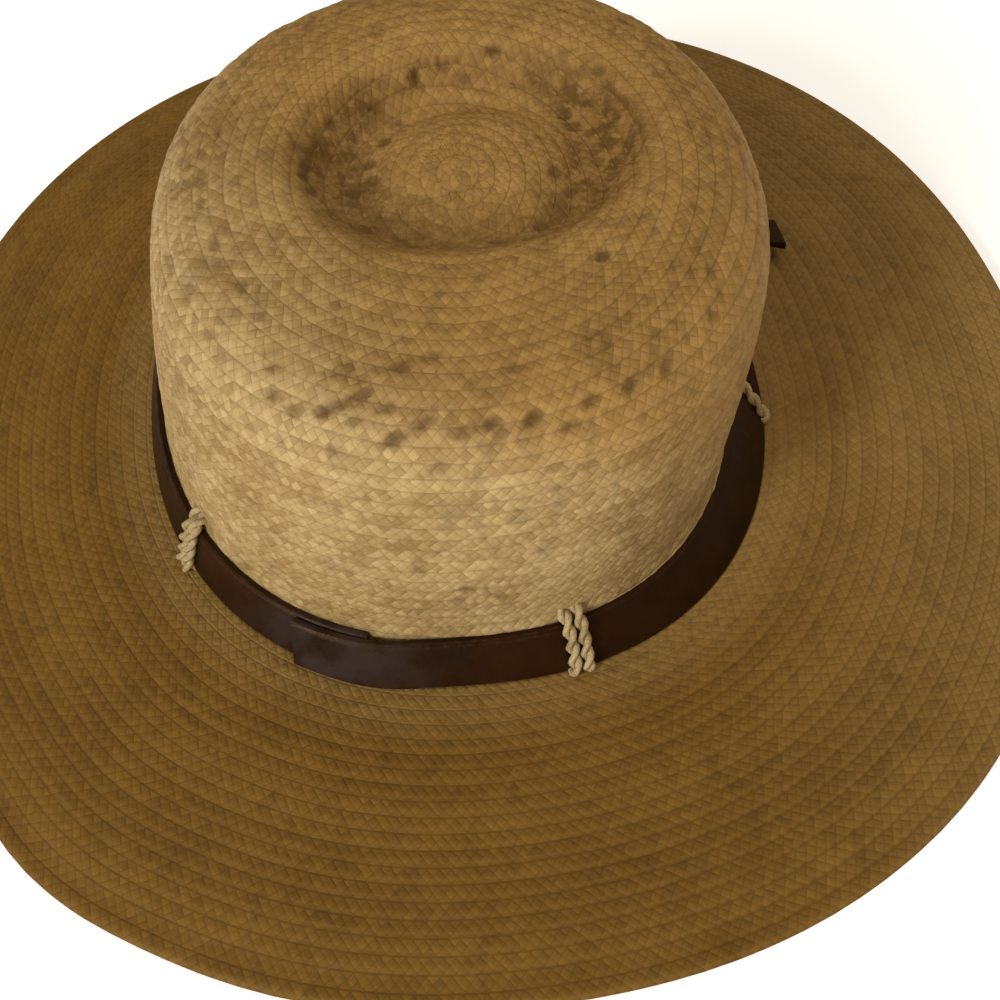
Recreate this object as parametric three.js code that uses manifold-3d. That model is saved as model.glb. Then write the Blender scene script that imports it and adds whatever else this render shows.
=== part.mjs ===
// A wide-brimmed raffia hat, resting on the edge of its brim.
// Millimetres, +Z up. The front of the hat is towards -Y and the longer way of the head runs along Y.
// The origin is the middle of the brim's outline, on the surface that the hat rests on.

import * as THREE from 'three';
import Module from 'manifold-3d';
import { mergeVertices } from 'three/addons/utils/BufferGeometryUtils.js';

const TAU = 2 * Math.PI;
const DEGREE = Math.PI / 180;

// Straw and leather
const STRAW = 2.0;
const LEATHER = 2.0;
const GAP = 0.35;
const SEGMENTS = 64;

// Plan of the crown: a slightly squared oval, whose middle is a little left of and before the brim's middle
const CROWN_OVAL = 2.18;
const CROWN_MIDDLE = { x: -6.2, y: -3.3 };

// The crown's main sections, from the brim up: x and y are from its middle, and slopes are rise per mm.
// The foot is higher on the left, and the crown leans to the right, as worn straw does. Foot and waist are a
// little squarer than the rest.
const FOOT = { x: 2.2, y: 2.9, z: 8, halfX: 95.6, halfY: 110.5, slopeX: -0.05, slopeY: 0.01, oval: 2.24 };
const WAIST = { x: -1.4, y: 0, z: 23.8, halfX: 86.2, halfY: 101, slopeX: -0.08, slopeY: 0.018, oval: 2.24 };
const SHOULDER = { x: 7, y: -3.2, z: 84.6, halfX: 84.8, halfY: 97.2, slopeX: 0.006, slopeY: -0.022 };
const SHOULDER_ROUND = 19.4;

// The dished top, from its rim inwards: a lip, a valley all round and a low raised middle.
// It is set to the right of the crown's middle.
const LIP = { x: 12.5, y: 3.5, z: 103.8, halfX: 52.5, halfY: 46.5, slopeX: -0.01, slopeY: -0.025 };
const VALLEY = { x: 13, y: 6.5, z: 90.5, halfX: 35, halfY: 29, slopeY: -0.02 };
const MOUND = { x: 13.5, y: 8, z: 95, halfX: 19, halfY: 16 };
const MOUND_TOP = { x: 13.5, y: 8, z: 96, halfX: 8, halfY: 7 };

// Rows of the crown's skin across its top, from the middle outwards: each lies a share of the way between two
// sections, lifted by up, and its inner side is drop walls below it, more where the straw slopes
const TOP_ROWS = [
  { from: MOUND_TOP, to: MOUND_TOP, share: 0, up: 0, drop: 1 },
  { from: MOUND, to: MOUND, share: 0, up: 0, drop: 1 },
  { from: MOUND, to: VALLEY, share: 0.6, up: -1.2, drop: 1.05 },
  { from: VALLEY, to: VALLEY, share: 0, up: 0, drop: 1.1 },
  { from: VALLEY, to: LIP, share: 0.3, up: -1.1, drop: 1.2 },
  { from: VALLEY, to: LIP, share: 0.7, up: 1.2, drop: 1.25 },
  { from: LIP, to: LIP, share: 0, up: 0, drop: 1.1 },
];
// The crown's rounded shoulder as degrees of its bend, from the flat of the top to the wall
const SHOULDER_BENDS = [90, 67, 45, 22, 0];
// Rows of the wall from the shoulder down: a share of the way up from the waist, and how far they bulge out
const WALL_ROWS = [
  { share: 0.75, bulge: 0.7 },
  { share: 0.5, bulge: 1.0 },
  { share: 0.25, bulge: 0.5 },
  { share: 0.08, bulge: -0.3 },
];

// Brim
const EDGE = { halfX: 182.5, halfY: 199.5, oval: 2.2 };
const BRIM_ROWS = [0.06, 0.16, 0.28, 0.42, 0.56, 0.7, 0.82, 0.91];
const HEM = { width: 6, thickness: 2.8, bevel: 1.2, step: 0.8 };
const EDGE_CURL = { rise: 5, halfAngle: 75 * DEGREE };
// How far the brim reaches in under the crown's foot, and how far it arches up between the foot and the edge
const BRIM_TUCK = 4.6;
const BRIM_ARCH = 1.6;
// Kinks of the edge, by the angle round the hat, their width in degrees and how far they push it out
const EDGE_KINKS = [
  { angle: -134, width: 7, push: 2.8 },
  { angle: -145, width: 5, push: -0.6 },
  { angle: -36, width: 9, push: -0.8 },
  { angle: 42, width: 22, push: -1.6 },
];

// Leather band: one strap round the crown's foot, whose outer end laps over the inner one at the front left
const BAND = { low: 0.035, high: 0.97, lapEnd: -123 * DEGREE, lap: 13 * DEGREE, ramp: 12 * DEGREE };
const BAND_BEVEL = { rise: 0.05, depth: 0.6 };

// Raffia keepers that hold the band to the crown, by the angle round the hat of their lower and upper ends
const KEEPERS = [
  { name: 'keeper_front', low: -76.5, high: -73.5, width: 8.4 },
  { name: 'keeper_left', low: -148, high: -147, width: 6.6 },
  { name: 'keeper_right', low: -15.5, high: -8.5, width: 6.0 },
  { name: 'keeper_back_right', low: 58, high: 59, width: 6.6 },
  { name: 'keeper_back_left', low: 131, high: 130, width: 6.6 },
];
const KEEPER_THICKNESS = 1.8;
const OVER_BAND = GAP + LEATHER + GAP + KEEPER_THICKNESS / 2;
// A keeper's middle line, from the crown above the band to the brim below it: the share of the way up the
// band, how far out from the straw it lies and how far it is lifted
const KEEPER_PATH = [
  { share: 1, off: GAP + KEEPER_THICKNESS * 0.6, up: 2.6 },
  { share: 1, off: OVER_BAND * 0.7, up: 1.7 },
  { share: 1, off: OVER_BAND + 0.2, up: 0.2 },
  { share: 0.85, off: OVER_BAND + 0.2, up: 0 },
  { share: 0.5, off: OVER_BAND, up: 0 },
  { share: 0.25, off: OVER_BAND + 0.1, up: 0 },
  { share: 0.14, off: OVER_BAND + 0.3, up: 0 },
];

// Leather tie at the right of the back: a knot on the band and two flat ends lying out over the brim
const TIE = { angle: 29, share: 0.5, depth: 8, width: 13, height: 10, round: 2.4, bevel: 1, thickness: 2.2 };
const TIE_ENDS = [
  { turn: -42, length: 35, width: 11.5, rise: -1.5, side: 1 },
  { turn: 36, length: 26, width: 7.5, rise: -1.5, side: -1 },
];
// Outline of a tie's end, which is cut on the slant: how far along it as a share of its length, and across as
// a share of its width
const TIE_OUTLINE = [
  { along: 0, across: -0.3 },
  { along: 0.4, across: -0.5 },
  { along: 1, across: -0.5 },
  { along: 0.84, across: 0.5 },
  { along: 0.4, across: 0.5 },
  { along: 0, across: 0.3 },
];

const COLOURS = {
  crown: { color: 0xb59a63, roughness: 0.75 },
  brim: { color: 0x7d6334, roughness: 0.8 },
  leather: { color: 0x2f1d0e, roughness: 0.45 },
  raffia: { color: 0xb3a071, roughness: 0.7 },
};

const mix = (a, b, share) => a + (b - a) * share;
const clamp01 = (value) => Math.min(1, Math.max(0, value));
const smooth = (value) => clamp01(value) ** 2 * (3 - 2 * clamp01(value));

// A point of an oval at an angle: exponent 2 is an ellipse, and more is squarer
function ovalPoint(halfX, halfY, exponent, angle) {
  const c = Math.cos(angle);
  const s = Math.sin(angle);
  const reach = (Math.abs(c) ** exponent + Math.abs(s) ** exponent) ** (-1 / exponent);
  return { x: halfX * reach * c, y: halfY * reach * s };
}

// A point of a section of the crown, with the section grown outwards and lifted
function sectionPoint(section, angle, out = 0, up = 0) {
  const flat = ovalPoint(section.halfX + out, section.halfY + out, section.oval ?? CROWN_OVAL, angle);
  const lean = (section.slopeX ?? 0) * flat.x + (section.slopeY ?? 0) * flat.y;
  return new THREE.Vector3(
    CROWN_MIDDLE.x + section.x + flat.x,
    CROWN_MIDDLE.y + section.y + flat.y,
    section.z + lean + up,
  );
}

// A point of the wall between two sections
function wallPoint(low, high, share, angle, out = 0, up = 0) {
  return sectionPoint(low, angle, out, up).lerp(sectionPoint(high, angle, out, up), share);
}

// How far the wall under the band leans outwards at an angle, from upright
function footLean(angle) {
  const rise = sectionPoint(WAIST, angle).sub(sectionPoint(FOOT, angle));
  return Math.atan2(Math.hypot(rise.x, rise.y), rise.z);
}

const ANGLES = Array.from({ length: SEGMENTS }, (_, i) => (i / SEGMENTS) * TAU);
const ring = (pointAt) => ANGLES.map(pointAt);

// A closed skin through sections with equal numbers of points: joined end to end, or with a fan over each end
function loft(sections, joined) {
  const count = sections[0].length;
  const points = sections.flat();
  const faces = [];
  const last = joined ? sections.length : sections.length - 1;
  for (let row = 0; row < last; row += 1) {
    const here = row * count;
    const next = ((row + 1) % sections.length) * count;
    for (let i = 0; i < count; i += 1) {
      const j = (i + 1) % count;
      faces.push(here + i, next + i, next + j, here + i, next + j, here + j);
    }
  }
  if (!joined) {
    for (const [start, turn] of [[0, 1], [(sections.length - 1) * count, -1]]) {
      const rim = points.slice(start, start + count);
      const middle = rim.reduce((sum, p) => sum.add(p), new THREE.Vector3()).divideScalar(count);
      const tip = points.push(middle) - 1;
      for (let i = 0; i < count; i += 1) {
        const a = start + i;
        const b = start + (i + 1) % count;
        faces.push(tip, ...(turn > 0 ? [a, b] : [b, a]));
      }
    }
  }
  return outwardGeometry(points, faces);
}

// The geometry with its faces turned outwards, told by the sign of its volume
function outwardGeometry(points, faces) {
  let volume = 0;
  for (let i = 0; i < faces.length; i += 3) {
    const [a, b, c] = faces.slice(i, i + 3).map((k) => points[k]);
    volume += a.dot(b.clone().cross(c));
  }
  if (volume < 0) {
    for (let i = 0; i < faces.length; i += 3) {
      [faces[i + 1], faces[i + 2]] = [faces[i + 2], faces[i + 1]];
    }
  }
  const geometry = new THREE.BufferGeometry().setFromPoints(points);
  geometry.setIndex(faces);
  geometry.computeVertexNormals();
  return geometry;
}

// Rings of the crown's skin from the middle of the top down to the foot, set in by the wall for its inside
function crownRings(inset) {
  const top = { ...SHOULDER, z: SHOULDER.z + SHOULDER_ROUND };
  const crest = { ...top, halfX: top.halfX - SHOULDER_ROUND, halfY: top.halfY - SHOULDER_ROUND };
  const topRows = [...TOP_ROWS, { from: LIP, to: crest, share: 0.5, up: 0.5, drop: 1 }];
  const rings = topRows.map((row) => ring((angle) => (
    wallPoint(row.from, row.to, row.share, angle, 0, row.up - inset * row.drop)
  )));
  for (const bend of SHOULDER_BENDS) {
    const out = (SHOULDER_ROUND - inset) * Math.cos(bend * DEGREE) - SHOULDER_ROUND;
    const up = (SHOULDER_ROUND - inset) * Math.sin(bend * DEGREE);
    rings.push(ring((angle) => sectionPoint(SHOULDER, angle, out, up)));
  }
  for (const row of WALL_ROWS) {
    rings.push(ring((angle) => wallPoint(WAIST, SHOULDER, row.share, angle, row.bulge - inset)));
  }
  rings.push(ring((angle) => sectionPoint(WAIST, angle, -inset)));
  rings.push(ring((angle) => wallPoint(FOOT, WAIST, 0.5, angle, -inset)));
  rings.push(ring((angle) => sectionPoint(FOOT, angle, -inset, GAP)));
  return rings;
}

function crownGeometry() {
  return loft([...crownRings(0), ...crownRings(STRAW).reverse()], false);
}

// How far the edge of the brim curls up at an angle: only the right side does
function edgeRise(angle) {
  const turned = Math.abs(Math.atan2(Math.sin(angle), Math.cos(angle)));
  return EDGE_CURL.rise * (1 - smooth(turned / EDGE_CURL.halfAngle));
}

// The small kinks where the edge is pushed out or in
function edgePush(angle) {
  const sum = EDGE_KINKS.map((kink) => {
    const away = (angle - kink.angle * DEGREE + 3 * Math.PI) % TAU - Math.PI;
    return kink.push * Math.exp(-((away / (kink.width * DEGREE)) ** 2));
  });
  return sum.reduce((a, b) => a + b);
}

// The middle of the brim's thickness, from the crown's foot (share 0) to the edge (share 1)
function brimPoint(angle, share) {
  const foot = sectionPoint(FOOT, angle, 0, -STRAW / 2);
  const push = edgePush(angle);
  const flat = ovalPoint(EDGE.halfX + push, EDGE.halfY + push, EDGE.oval, angle);
  const edge = new THREE.Vector3(flat.x, flat.y, HEM.thickness / 2 + edgeRise(angle));
  const point = foot.clone().lerp(edge, share);
  point.z += BRIM_ARCH * Math.sin(Math.PI * clamp01(share));
  return point;
}

// Rings of one face of the brim between the crown's foot and the hem
function brimFace(side) {
  const lift = new THREE.Vector3(0, 0, side * STRAW / 2);
  const inner = ring((angle) => sectionPoint(FOOT, angle, -BRIM_TUCK, -STRAW / 2).add(lift));
  const foot = ring((angle) => sectionPoint(FOOT, angle, 0, -STRAW / 2).add(lift));
  return [inner, foot, ...BRIM_ROWS.map((share) => ring((angle) => brimPoint(angle, share).add(lift)))];
}

// Rings round the hem: it is thicker than the brim, and its underside is level where the hat rests
function hemRings() {
  const half = HEM.thickness / 2;
  const upper = [
    { inset: HEM.width + HEM.step, up: STRAW / 2 },
    { inset: HEM.width, up: half },
    { inset: HEM.bevel, up: half },
    { inset: HEM.bevel / 4, up: half * 0.6 },
  ];
  const lower = upper.map((row) => ({ inset: row.inset, up: -row.up })).reverse();
  return [...upper, { inset: 0, up: 0 }, ...lower].map((row) => ring((angle) => {
    const outer = brimPoint(angle, 1);
    const inward = sectionPoint(FOOT, angle).sub(outer).setZ(0).normalize();
    return outer.addScaledVector(inward, row.inset).setZ(outer.z + row.up);
  }));
}

function brimGeometry() {
  return loft([...brimFace(1), ...hemRings(), ...brimFace(-1).reverse()], true);
}

// Sections of the strap from its outer end at the lap, once round, to its inner end under the lap
function bandGeometry() {
  const length = TAU + BAND.lap;
  const steps = Math.round(length / TAU * SEGMENTS) + 2;
  const corners = [
    { share: BAND.low, off: 0 },
    { share: BAND.high, off: 0 },
    { share: BAND.high, off: LEATHER - BAND_BEVEL.depth },
    { share: BAND.high - BAND_BEVEL.rise, off: LEATHER },
    { share: BAND.low + BAND_BEVEL.rise, off: LEATHER },
    { share: BAND.low, off: LEATHER - BAND_BEVEL.depth },
  ];
  const sections = Array.from({ length: steps + 1 }, (_, i) => {
    const along = (i / steps) * length;
    const angle = BAND.lapEnd + along;
    const raised = 1 - smooth((along - BAND.lap) / BAND.ramp);
    const off = GAP + raised * (LEATHER + GAP);
    const stretch = 1 / Math.cos(footLean(angle));
    return corners.map((corner) => (
      wallPoint(FOOT, WAIST, corner.share, angle, (off + corner.off) * stretch)
    ));
  });
  return loft(sections, false);
}

// A keeper is a flat raffia loop: a rectangle carried along its path, square to it
function keeperGeometry(keeper) {
  const halfTurn = keeper.width / 2 / FOOT.halfY;
  const half = KEEPER_THICKNESS / 2;
  const sections = KEEPER_PATH.map((row, i) => {
    const before = KEEPER_PATH[Math.max(0, i - 1)];
    const after = KEEPER_PATH[Math.min(KEEPER_PATH.length - 1, i + 1)];
    const angle = mix(keeper.low, keeper.high, row.share) * DEGREE;
    const lean = footLean(angle);
    const stretch = 1 / Math.cos(lean);
    const climb = (after.share - before.share) * (WAIST.z - FOOT.z);
    const rise = climb + after.up - before.up;
    const run = (after.off - before.off) * stretch - climb * Math.tan(lean);
    const slant = Math.hypot(rise, run);
    const across = { out: -rise / slant * half, up: run / slant * half };
    return [[-1, -1], [-1, 1], [1, 1], [1, -1]].map(([side, face]) => wallPoint(
      FOOT,
      WAIST,
      row.share,
      angle + side * halfTurn,
      row.off * stretch + face * across.out,
      row.up + face * across.up,
    ));
  });
  return loft(sections, false);
}

const wasm = await Module();
wasm.setup();

function toSolid(geometry) {
  const bare = geometry.clone();
  bare.deleteAttribute('normal');
  bare.deleteAttribute('uv');
  const merged = mergeVertices(bare);
  return new wasm.Manifold(new wasm.Mesh({
    numProp: 3,
    vertProperties: new Float32Array(merged.attributes.position.array),
    triVerts: new Uint32Array(merged.index.array),
  }));
}

function toGeometry(solid) {
  const mesh = solid.getMesh();
  const geometry = new THREE.BufferGeometry();
  geometry.setAttribute('position', new THREE.BufferAttribute(new Float32Array(mesh.vertProperties), 3));
  geometry.setIndex(Array.from(mesh.triVerts));
  geometry.computeVertexNormals();
  return geometry;
}

// A rectangle with rounded corners, as an outline
function roundedOutline(width, height, radius) {
  const outline = new THREE.Shape();
  const corners = [[1, -1], [1, 1], [-1, 1], [-1, -1]];
  corners.forEach(([sideX, sideY], i) => {
    const start = (i - 1) * Math.PI / 2;
    const x = sideX * (width / 2 - radius);
    const y = sideY * (height / 2 - radius);
    outline.absarc(x, y, radius, start, start + Math.PI / 2);
  });
  return outline;
}

// The knot is a small rounded block, and each end a flat strip cut on the slant. The block's back is at x = 0.
function tieGeometry() {
  const knot = new THREE.ExtrudeGeometry(roundedOutline(TIE.width, TIE.height, TIE.round), {
    depth: TIE.depth - 2 * TIE.bevel,
    bevelThickness: TIE.bevel,
    bevelSize: TIE.bevel,
    bevelSegments: 1,
    curveSegments: 3,
  });
  knot.translate(0, 0, TIE.bevel);
  knot.rotateX(Math.PI / 2);
  knot.rotateZ(Math.PI / 2);
  knot.rotateY(-footLean(TIE.angle * DEGREE));
  let solid = toSolid(knot);
  for (const end of TIE_ENDS) {
    const points = TIE_OUTLINE.map(({ along, across }) => (
      new THREE.Vector2(along * end.length, across * end.width * end.side)
    ));
    const outline = new THREE.Shape(points);
    const strip = new THREE.ExtrudeGeometry(outline, { depth: TIE.thickness, bevelEnabled: false });
    strip.rotateY(-Math.atan2(end.rise, end.length));
    strip.rotateZ(end.turn * DEGREE);
    strip.translate(TIE.depth * 0.65, 0, -TIE.thickness / 2);
    solid = solid.add(toSolid(strip));
  }
  return toGeometry(solid);
}

function makeMesh(name, geometry, finish) {
  const mesh = new THREE.Mesh(geometry, new THREE.MeshStandardMaterial({ ...finish, metalness: 0 }));
  mesh.name = name;
  return mesh;
}

const hat = new THREE.Group();
hat.add(makeMesh('crown', crownGeometry(), COLOURS.crown));
hat.add(makeMesh('brim', brimGeometry(), COLOURS.brim));
hat.add(makeMesh('hat_band', bandGeometry(), COLOURS.leather));
for (const keeper of KEEPERS) {
  hat.add(makeMesh(keeper.name, keeperGeometry(keeper), COLOURS.raffia));
}

const tie = makeMesh('band_tie', tieGeometry(), COLOURS.leather);
const tieOut = (GAP + LEATHER + 2 * GAP) / Math.cos(footLean(TIE.angle * DEGREE));
const tiePoint = (turn) => wallPoint(FOOT, WAIST, TIE.share, TIE.angle * DEGREE + turn, tieOut);
const tangent = tiePoint(0.01).sub(tiePoint(-0.01));
tie.position.copy(tiePoint(0));
tie.rotation.z = Math.atan2(-tangent.x, tangent.y);
hat.add(tie);

export default hat;
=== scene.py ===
# %% [markdown]
# # A raffia hat
# This lesson dresses a plain solid model of a wide-brimmed raffia hat. The real hat is one long plaited
# braid, sewn round and round from the middle of the crown to the edge of the brim, then steamed and pressed
# over a block. A dark leather strap goes round the foot of the crown, and raffia loops hold it.
# The solids give the true form and sizes, so they serve here as the hatter's block: a net of rings, one for
# each row of braid, is laid over them and pulled tight.

import math
import random
from contextlib import contextmanager

import bpy
import numpy as np
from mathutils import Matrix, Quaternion, Vector
from mathutils.kdtree import KDTree


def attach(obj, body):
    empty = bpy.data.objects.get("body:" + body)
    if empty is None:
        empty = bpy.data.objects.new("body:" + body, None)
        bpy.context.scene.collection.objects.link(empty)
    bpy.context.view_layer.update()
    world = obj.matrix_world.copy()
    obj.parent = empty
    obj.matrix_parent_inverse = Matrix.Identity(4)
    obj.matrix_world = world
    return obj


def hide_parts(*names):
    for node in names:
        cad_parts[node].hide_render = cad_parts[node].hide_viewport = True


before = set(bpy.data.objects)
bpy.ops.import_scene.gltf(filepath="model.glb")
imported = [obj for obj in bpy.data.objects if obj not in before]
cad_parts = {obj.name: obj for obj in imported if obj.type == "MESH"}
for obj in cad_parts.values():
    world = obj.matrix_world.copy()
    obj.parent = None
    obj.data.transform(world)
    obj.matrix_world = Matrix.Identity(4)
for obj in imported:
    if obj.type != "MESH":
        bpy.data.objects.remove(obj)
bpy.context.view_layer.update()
MM = 0.001

# %% [markdown]
# ## The camera
# The hat is seen from above and in front, from about 45 cm, a little to the left of the middle, with the
# picture turned a few degrees. A camera that looks along its own -Z axis is turned towards its aim by a track
# quaternion, and the roll is then a turn about its own Z.

# %% Camera
CAMERA_PLACE = Vector((-12.25, -293.25, 344.65)) * MM
CAMERA_AIM = Vector((4.41, -45.04, 0)) * MM
CAMERA_ROLL = math.radians(-4.355)
CAMERA_LENS = 49.07
CAMERA_NEAR = 0.01

bpy.ops.object.camera_add(location=CAMERA_PLACE)
camera = bpy.context.object
camera.name = "camera"
camera.data.lens = CAMERA_LENS
camera.data.clip_start = CAMERA_NEAR
camera.rotation_mode = "QUATERNION"
look = CAMERA_AIM - CAMERA_PLACE
camera.rotation_quaternion = look.to_track_quat("-Z", "Y") @ Quaternion((0, 0, 1), CAMERA_ROLL)
bpy.context.scene.camera = camera
print("the camera looks down at", round(math.degrees(math.asin(-look.normalized().z)), 1), "degrees")

# %% [markdown]
# ## Light and floor
# The hat stands in soft light. A key at the front left throws the crown's shadow over the brim behind it to
# the right, a larger and lower one in front makes the crown's wall its brightest part, and one overhead keeps
# the shadow soft. A warm world fills in, as the walls of a room would. The floor is a plain disc, and it
# glows a little, as a sweep does that has its own lamps.

# %% Light and floor
LIGHTS = {
    "key_light": {"place": (-2.1, -1.9, 1.85), "size": 0.7, "power": 52.0, "colour": (0.98, 0.98, 1.0)},
    "front_light": {"place": (-1.9, -2.64, 0.8), "size": 2.0, "power": 31.0, "colour": (0.97, 0.98, 1.0)},
    "top_light": {"place": (0.95, 0.45, 2.4), "size": 2.0, "power": 16.5, "colour": (1.0, 0.92, 0.76)},
}
LIGHT_AIM = Vector((0, -0.02, 0.04))
WORLD_LIGHT = {"Color": (1.0, 0.86, 0.64, 1), "Strength": 0.30}
FLOOR_PAPER = {
    "Base Color": (0.92, 0.915, 0.9, 1), "Roughness": 0.9, "Emission Color": (1, 1, 1, 1),
    "Emission Strength": 0.5,
}
FLOOR_RADIUS = 3.0
FLOOR_SIDES = 96


def soft_light(name, place, size, power, colour):
    """A square light at a place, turned towards the hat."""
    bpy.ops.object.light_add(type="AREA", location=place)
    light = bpy.context.object
    light.name = name
    light.data.size = size
    light.data.energy = power
    light.data.color = colour
    light.rotation_euler = (LIGHT_AIM - Vector(place)).to_track_quat("-Z", "Y").to_euler()


def set_inputs(node, values):
    """Sets inputs of a node by their names."""
    for name, value in values.items():
        node.inputs[name].default_value = value


for name, light in LIGHTS.items():
    soft_light(name, **light)
world = bpy.data.worlds.new("studio")
world.use_nodes = True
set_inputs(world.node_tree.nodes["Background"], WORLD_LIGHT)
bpy.context.scene.world = world
bpy.context.scene.view_settings.view_transform = "Standard"

bpy.ops.mesh.primitive_circle_add(
    vertices=FLOOR_SIDES, radius=FLOOR_RADIUS, fill_type="NGON", location=(0, 0, 0)
)
floor = bpy.context.object
floor.name = "floor"
paper = bpy.data.materials.new("floor_paper")
paper.use_nodes = True
set_inputs(paper.node_tree.nodes["Principled BSDF"], FLOOR_PAPER)
floor.data.materials.append(paper)
print("lights:", ", ".join(LIGHTS))

# %% [markdown]
# ## Small helpers
# Modelling by hand is a rhythm of selecting, then using one tool. These helpers do the selecting: everything
# is deselected first, and then points, edges or faces are chosen by a test on their place, normal or number.
# With editing(...) opens edit mode on a piece with just those selected, and closes it again.

# %% Helpers
MERGE_REACH = 1e-6
QUAD_ANGLES = {"face_threshold": math.radians(60), "shape_threshold": math.radians(80)}


def take(piece):
    """Makes one piece the only selected and active one."""
    if bpy.context.object and bpy.context.object.mode != "OBJECT":
        bpy.ops.object.mode_set(mode="OBJECT")
    bpy.ops.object.select_all(action="DESELECT")
    piece.select_set(True)
    bpy.context.view_layer.objects.active = piece


@contextmanager
def editing(piece, kind="VERT", chosen=None):
    """Edit mode with the points, edges or faces whose entry in a list is true selected, or else with all."""
    take(piece)
    bpy.ops.object.mode_set(mode="EDIT")
    bpy.ops.mesh.select_mode(type=kind)
    bpy.ops.mesh.select_all(action="SELECT" if chosen is None else "DESELECT")
    if chosen is not None:
        bpy.ops.object.mode_set(mode="OBJECT")
        mesh = piece.data
        elements = {"VERT": mesh.vertices, "EDGE": mesh.edges, "FACE": mesh.polygons}[kind]
        elements.foreach_set("select", np.asarray(chosen, dtype=bool))
        bpy.ops.object.mode_set(mode="EDIT")
    yield
    bpy.ops.object.mode_set(mode="OBJECT")


def places(piece, what="co"):
    """The places of a piece's points, a row for each, or their normals where what is "normal"."""
    flat = np.zeros(len(piece.data.vertices) * 3)
    piece.data.vertices.foreach_get(what, flat)
    return flat.reshape(-1, 3)


def tell_size(piece, *words):
    """Prints where a piece begins and ends."""
    where = places(piece) / MM
    low, high = np.round(where.min(axis=0), 1), np.round(where.max(axis=0), 1)
    print(piece.name, "from", low, "to", high, "mm", *words)


def finish_with(piece, kind, **settings):
    """Adds a modifier with its settings and applies it at once."""
    take(piece)
    modifier = piece.modifiers.new(kind.lower(), kind)
    for name, value in settings.items():
        setattr(modifier, name, value)
    bpy.ops.object.modifier_apply(modifier=modifier.name)
    return piece


def settle(piece):
    """Puts a finished piece's place into its mesh."""
    take(piece)
    bpy.ops.object.transform_apply(location=True, rotation=True, scale=True)
    return piece


def join(pieces, name):
    """Joins pieces into the first one."""
    take(pieces[0])
    for piece in pieces[1:]:
        piece.select_set(True)
    bpy.ops.object.join()
    pieces[0].name = name
    return pieces[0]


def make_uneven(offset, seed, normal=0.0):
    """Moves the selected points a little at random, all ways or along their normals."""
    bpy.ops.transform.vertex_random(offset=offset * MM, uniform=0.0, normal=normal, seed=seed)


def shade(piece, angle):
    """Shades a piece smooth, apart from edges sharper than an angle."""
    take(piece)
    bpy.ops.object.shade_smooth_by_angle(angle=math.radians(angle))


def copy_of_node(name, new_name):
    """A merged copy of a solid, with its triangles joined back into four-sided faces."""
    piece = bpy.data.objects.new(new_name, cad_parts[name].data.copy())
    bpy.context.scene.collection.objects.link(piece)
    piece.data.materials.clear()
    with editing(piece):
        bpy.ops.mesh.remove_doubles(threshold=MERGE_REACH)
        bpy.ops.mesh.tris_convert_to_quads(**QUAD_ANGLES)
    return piece


# %% [markdown]
# ## The blocks
# A hatter presses the sewn braid over a wooden block. The block here is the outer skin of the solid crown: a
# copy of it whose inner skin is deleted, told by the way that its faces look, and which is then subdivided
# once so that its facets don't show through. The brim's block is a copy of the whole brim.

# %% Blocks
HOLLOW_MIDDLE = Vector((-3, -3, 45)) * MM
FOOT_RIM = {"normal_under": -0.8, "height_under": 20 * MM}


def looks_out(face):
    """True for a face of the crown's outer skin, and not for the rim at its foot."""
    on_rim = face.normal.z < FOOT_RIM["normal_under"] and face.center.z < FOOT_RIM["height_under"]
    return face.normal.dot(face.center - HOLLOW_MIDDLE) > 0 and not on_rim


crown_block = copy_of_node("crown", "crown_block")
with editing(crown_block, "FACE", [not looks_out(face) for face in crown_block.data.polygons]):
    bpy.ops.mesh.delete(type="FACE")
brim_block = copy_of_node("brim", "brim_block")
for block in (crown_block, brim_block):
    finish_with(block, "SUBSURF", levels=1, render_levels=1)
    print(block.name, "has", len(block.data.polygons), "faces")

# %% [markdown]
# ## The net of rows
# The crown is a stack of rings, one for each row of braid. It could be a turned profile, but the plan is an
# oval that changes from the middle of the top to the foot, so one small circle is extruded ring by ring
# instead: each ring is moved, stretched and tilted to the next section. The strips between rings are then cut
# in four, because a row of braid needs a groove, a rounded back and a lapped edge.

# %% Crown net
COLUMNS = 288
STRIPS = 4
LEAST_TURN = 1e-6
CROWN_MIDDLE = Vector((-6.2, -3.3, 0))
ROUND = 19.4
TOP_START = {"x": 9.0, "y": 1.0, "z": 112, "half_x": 1.8, "half_y": 2.1, "tilt_x": 0, "tilt_y": 0}
SHOULDER = {"x": 7, "y": -3.2, "z": 84.6, "half_x": 84.8, "half_y": 97.2, "tilt_x": 0.006, "tilt_y": -0.022}
WAIST = {"x": -1.4, "y": 0, "z": 23.8, "half_x": 86.2, "half_y": 101, "tilt_x": -0.08, "tilt_y": 0.018}
FOOT = {"x": 2.2, "y": 2.9, "z": 8.4, "half_x": 95.6, "half_y": 110.5, "tilt_x": -0.05, "tilt_y": 0.01}
CROWN_ROWS = {"top": 15, "shoulder": 7, "wall": 14, "foot": 4}


def between(first, second, share):
    """The section that lies a share of the way from one section to another."""
    return {name: first[name] + (second[name] - first[name]) * share for name in first}


def on_shoulder(bend):
    """A section of the rounded shoulder, from its foot at a bend of 0 to its crest at a quarter turn."""
    inward = ROUND * (1 - math.cos(bend))
    return dict(
        SHOULDER, z=SHOULDER["z"] + ROUND * math.sin(bend),
        half_x=SHOULDER["half_x"] - inward, half_y=SHOULDER["half_y"] - inward,
    )


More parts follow.
